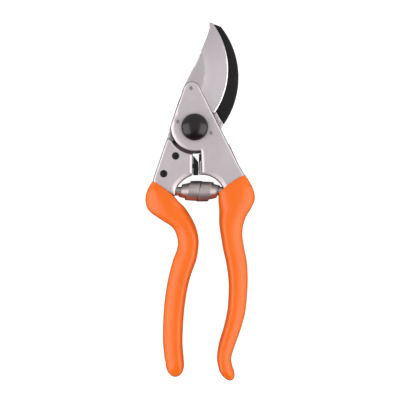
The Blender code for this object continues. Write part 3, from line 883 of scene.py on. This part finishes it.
def ground_steel():
    """Blade steel with fine circular grinding lines about the grinding centre."""
    mat, tree, shader = new_material("ground_steel", (0.78, 0.74, 0.76), 0.24, 1.0)
    coord = tree.nodes.new("ShaderNodeTexCoord")
    shift = tree.nodes.new("ShaderNodeVectorMath")
    shift.operation = "SUBTRACT"
    middle_z = 0.011
    shift.inputs[1].default_value = (GRIND_CENTRE[0] * MM, GRIND_CENTRE[1] * MM, middle_z)
    tree.links.new(coord.outputs["Object"], shift.inputs[0])
    length = tree.nodes.new("ShaderNodeVectorMath")
    length.operation = "LENGTH"
    tree.links.new(shift.outputs["Vector"], length.inputs[0])
    lines = tree.nodes.new("ShaderNodeTexNoise")
    lines.noise_dimensions = "1D"
    lines.inputs["Scale"].default_value = 9000
    lines.inputs["Detail"].default_value = 3
    tree.links.new(length.outputs["Value"], lines.inputs["W"])
    cloud = noise_node(tree, coord.outputs["Object"], 40, 2)
    tree.links.new(mix_colours(tree, cloud, (0.68, 0.625, 0.655), (0.73, 0.68, 0.705)),
                   shader.inputs["Base Color"])
    tree.links.new(ramp(tree, lines.outputs["Fac"], 0.21, 0.27), shader.inputs["Roughness"])
    bump(tree, shader, lines.outputs["Fac"], 0.05, 0.00001)
    return mat


def black_coating():
    """Matte black coated steel of the counter-blade."""
    mat, tree, shader = new_material("black_coating", (0.010, 0.009, 0.010), 0.5, 0.0,
                                     Specular_IOR_Level=0.18)
    space = object_space(tree)
    speck = noise_node(tree, space, 1800, 3, 0.7)
    cloud = noise_node(tree, space, 130, 3)
    tree.links.new(mix_colours(tree, cloud, (0.0085, 0.0078, 0.0080), (0.014, 0.0125, 0.013)),
                   shader.inputs["Base Color"])
    tree.links.new(ramp(tree, speck, 0.42, 0.6), shader.inputs["Roughness"])
    bump(tree, shader, speck, 0.3, 0.00005)
    return mat


def gloss_black():
    """Polished black plastic of the cap."""
    mat, tree, shader = new_material("gloss_black_plastic", (0.008, 0.007, 0.009), 0.16, 0.0)
    space = object_space(tree)
    haze = noise_node(tree, space, 240, 4)
    tree.links.new(ramp(tree, haze, 0.19, 0.25), shader.inputs["Roughness"])
    tree.links.new(mix_colours(tree, haze, (0.007, 0.0035, 0.005), (0.011, 0.006, 0.008)),
                   shader.inputs["Base Color"])
    bump(tree, shader, noise_node(tree, space, 1400, 2), 0.03, 0.00003)
    return mat


def dark_rivet():
    """Blackened steel, slightly worn."""
    mat, tree, shader = new_material("blackened_rivet", (0.010, 0.008, 0.009), 0.40, 0.0,
                                     Specular_IOR_Level=0.2)
    space = object_space(tree)
    worn = noise_node(tree, space, 700, 4)
    tree.links.new(mix_colours(tree, worn, (0.007, 0.0055, 0.006), (0.014, 0.011, 0.0125)),
                   shader.inputs["Base Color"])
    tree.links.new(ramp(tree, worn, 0.3, 0.48), shader.inputs["Roughness"])
    bump(tree, shader, worn, 0.15, 0.00005)
    return mat


def zinc(name, colour=(0.62, 0.60, 0.59)):
    """Plated steel of pins, studs, nut, washer and screws."""
    mat, tree, shader = new_material(name, colour, 0.3, 1.0)
    space = object_space(tree)
    drawn = noise_node(tree, space, 900, 3)
    cloud = noise_node(tree, space, 220, 3)
    dark = tuple(0.82 * c for c in colour)
    tree.links.new(mix_colours(tree, cloud, dark, colour), shader.inputs["Base Color"])
    tree.links.new(ramp(tree, drawn, 0.2, 0.4), shader.inputs["Roughness"])
    bump(tree, shader, drawn, 0.12, 0.00004)
    return mat


def spring_strip():
    """Polished spring strip: fine drawing lines along the strip, with painted shade where coils nest."""
    mat, tree, shader = new_material("spring_strip", (0.66, 0.62, 0.61), 0.3, 1.0)
    space = object_space(tree)
    drawn = noise_node(tree, object_space(tree, (1.0, 0.06, 0.06)), 2600, 2)
    cloud = noise_node(tree, space, 160, 2)
    colour = mix_colours(tree, cloud, (0.50, 0.445, 0.44), (0.60, 0.54, 0.53))
    # painted shade where coils nest and near the walls
    tree.links.new(painted_crevice_shade(tree, colour, 0.003, (0.02, 0.015, 0.016)), shader.inputs["Base Color"])
    tree.links.new(ramp(tree, drawn, 0.40, 0.50), shader.inputs["Roughness"])
    bump(tree, shader, drawn, 0.04, 0.00002)
    return mat


def bronze():
    """Porous bronze of the pivot bush."""
    mat, tree, shader = new_material("sintered_bronze", (0.5, 0.33, 0.15), 0.4, 1.0)
    pores = noise_node(tree, object_space(tree), 1600, 3)
    tree.links.new(mix_colours(tree, pores, (0.36, 0.22, 0.09), (0.56, 0.38, 0.18)),
                   shader.inputs["Base Color"])
    bump(tree, shader, pores, 0.3, 0.00006)
    return mat


def rubber():
    """Matte black rubber of the closing buffer."""
    mat, tree, shader = new_material("moulded_rubber", (0.009, 0.009, 0.009), 0.62, 0.0,
                                     Specular_IOR_Level=0.2)
    grain = noise_node(tree, object_space(tree), 1500, 3)
    tree.links.new(mix_colours(tree, grain, (0.006, 0.006, 0.0065), (0.012, 0.012, 0.012)),
                   shader.inputs["Base Color"])
    bump(tree, shader, grain, 0.25, 0.00008)
    return mat


def orange_vinyl():
    """Dipped vinyl: even colour, faint flow waves and a fine skin, with painted shade on its sides."""
    mat, tree, shader = new_material("orange_vinyl_skin", (0.92, 0.16, 0.004), 0.32, 0.0,
                                     Specular_IOR_Level=0.46, Sheen_Weight=0.06, Sheen_Roughness=0.3,
                                     Subsurface_Weight=0.08, Subsurface_Radius=(1.0, 0.35, 0.1),
                                     Subsurface_Scale=0.0015)
    flow = noise_node(tree, object_space(tree, (1.0, 0.35, 1.0)), 60, 2)
    skin_grain = noise_node(tree, object_space(tree), 2200, 2)
    colour = mix_colours(tree, flow, (0.88, 0.143, 0.001), (0.92, 0.162, 0.003))
    # painted shade: colour darker on the steep sides of the grip
    colour = painted_light_by_tilt(tree, colour, ((0.0, 0.95), (0.10, 0.72), (0.36, 0.80), (0.62, 1.0)))
    tree.links.new(colour, shader.inputs["Base Color"])
    tree.links.new(ramp(tree, flow, 0.29, 0.35), shader.inputs["Roughness"])
    first = bump(tree, shader, flow, 0.12, 0.0006)
    bump(tree, shader, skin_grain, 0.06, 0.00004, first)
    return mat


# ---------------------------------------------------------------- assembly


def wear(obj, mat):
    """Gives an object one material."""
    obj.data.materials.clear()
    obj.data.materials.append(mat)


def dress(obj, mat):
    """Gives a fine piece its material."""
    wear(obj, mat)


def stand_in(obj, body, mat, slot, *nodes):
    """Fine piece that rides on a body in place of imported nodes."""
    dress(obj, mat)
    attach(obj, body)
    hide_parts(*nodes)


def build_object():
    """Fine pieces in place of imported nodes, and better materials on the nodes that stay."""
    metal = cast_aluminium()
    vinyl = orange_vinyl()
    plated = zinc("zinc_plated")
    rivet_black = dark_rivet()
    pin_steel = zinc("pin_steel", colour=(0.36, 0.33, 0.34))
    stand_in(hook_head(), "hook_side", metal, "aluminium", "hook_handle_frame")
    stand_in(blade_head(), "blade_side", metal, "aluminium", "blade_handle_frame")
    left = grip("left_grip_fine", LEFT_RIBS, LEFT_END)
    right = grip("right_grip_fine", RIGHT_RIBS, RIGHT_END)
    stand_in(left, "hook_side", vinyl, "orange_vinyl", "left_grip")
    stand_in(right, "blade_side", vinyl, "orange_vinyl", "right_grip")
    stand_in(cutting_blade(), "blade_side", ground_steel(), "blade_steel", "cutting_blade")
    stand_in(hook_blade(), "hook_side", black_coating(), "hook_steel", "hook_blade")
    stand_in(pivot_cap(), "hook_side", gloss_black(), "gloss_black", "pivot_cap")
    stand_in(bumper(), "hook_side", rubber(), "rubber", "rubber_bumper")
    for node in ("hook_rivet_upper", "hook_rivet_lower"):
        stand_in(rivet(node), "hook_side", rivet_black, "dark_steel", node)
    for node in ("blade_pin_tip", "blade_pin_left", "blade_pin_right"):
        stand_in(pin(node), "blade_side", pin_steel, "zinc_steel", node)
    coil = spring()
    dress(coil, spring_strip())
    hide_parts("volute_spring")
    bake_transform(coil)
    for node in ("pivot_bolt", "pivot_washer", "pivot_nut", "nut_lock_segment", "segment_screw",
                 "spring_post_left", "spring_post_right", "bumper_pin", "catch_bolt", "catch_post"):
        wear(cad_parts[node], plated)
    wear(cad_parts["thumb_catch"], rivet_black)
    wear(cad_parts["pivot_bush"], bronze())


# ---------------------------------------------------------------- studio


def floor():
    """Pale floor that glows evenly and stays out of reflections."""
    half = FLOOR_HALF / MM
    verts = [(x * half, y * half, -FLOOR_GAP) for x, y in ((-1, -1), (1, -1), (1, 1), (-1, 1))]
    ground = make("studio_floor", verts, [(0, 1, 2, 3)])
    mat, tree, shader = new_material("pale_floor", (0.40, 0.40, 0.40), 0.9, 0.0)
    shader.inputs["Emission Color"].default_value = (1.0, 1.0, 1.0, 1.0)
    shader.inputs["Emission Strength"].default_value = 0.95
    ground.data.materials.append(mat)
    ground.visible_glossy = False


def softbox(name, side):
    """Wide light beside the object: side is -1 for left and 1 for right."""
    lamp = bpy.data.lights.new(name, "AREA")
    lamp.shape = "RECTANGLE"
    lamp.size, lamp.size_y = SOFTBOX_SIZE
    lamp.energy = SOFTBOX_POWER
    obj = bpy.data.objects.new(name, lamp)
    obj.location = place = Vector((side * SOFTBOX_PLACE[0], *SOFTBOX_PLACE[1:]))
    obj.rotation_euler = (Vector(SOFTBOX_TARGET) - place).to_track_quat("-Z", "Y").to_euler()
    bpy.context.scene.collection.objects.link(obj)


def studio():
    """White surroundings, darker steeply below and towards the front, and a softbox at each side.

    The camera sees them plain white: only reflections and light take the darker parts.
    """
    world = bpy.data.worlds.new("studio_world")
    world.use_nodes = True
    tree = world.node_tree
    back = tree.nodes["Background"]
    back.inputs["Color"].default_value = (1.0, 0.985, 0.99, 1.0)
    coord = tree.nodes.new("ShaderNodeTexCoord")
    split = tree.nodes.new("ShaderNodeSeparateXYZ")
    tree.links.new(coord.outputs["Generated"], split.inputs["Vector"])
    by_height = ramp(tree, split.outputs["Z"], 0.04, 0.62, -0.70, -0.28)
    # the dark front is a wedge about -Y that fades towards both sides
    side = maths(tree, "ABSOLUTE", split.outputs["X"])
    front = maths(tree, "MULTIPLY_ADD", side, -0.8, maths(tree, "MULTIPLY", split.outputs["Y"], -1.0))
    strength = maths(tree, "MULTIPLY", by_height, ramp(tree, front, 1.0, 0.15, 0.02, 0.25))
    seen = tree.nodes.new("ShaderNodeLightPath").outputs["Is Camera Ray"]
    tree.links.new(maths(tree, "MAXIMUM", strength, seen), back.inputs["Strength"])
    bpy.context.scene.world = world
    softbox("softbox_left", -1)
    softbox("softbox_right", 1)


def camera():
    """Long lens straight above, at the distance where the picture is VIEW_WIDTH wide."""
    data = bpy.data.cameras.new("camera")
    data.lens = LENS
    data.sensor_width = SENSOR
    data.clip_start, data.clip_end = 0.05, 20
    obj = bpy.data.objects.new("camera", data)
    x, y, z = VIEW_CENTRE
    obj.location = (x, y, z + VIEW_WIDTH * LENS / SENSOR)
    bpy.context.scene.collection.objects.link(obj)
    bpy.context.scene.camera = obj


build_object()
floor()
studio()
camera()
bpy.context.scene.view_settings.view_transform = "Standard"
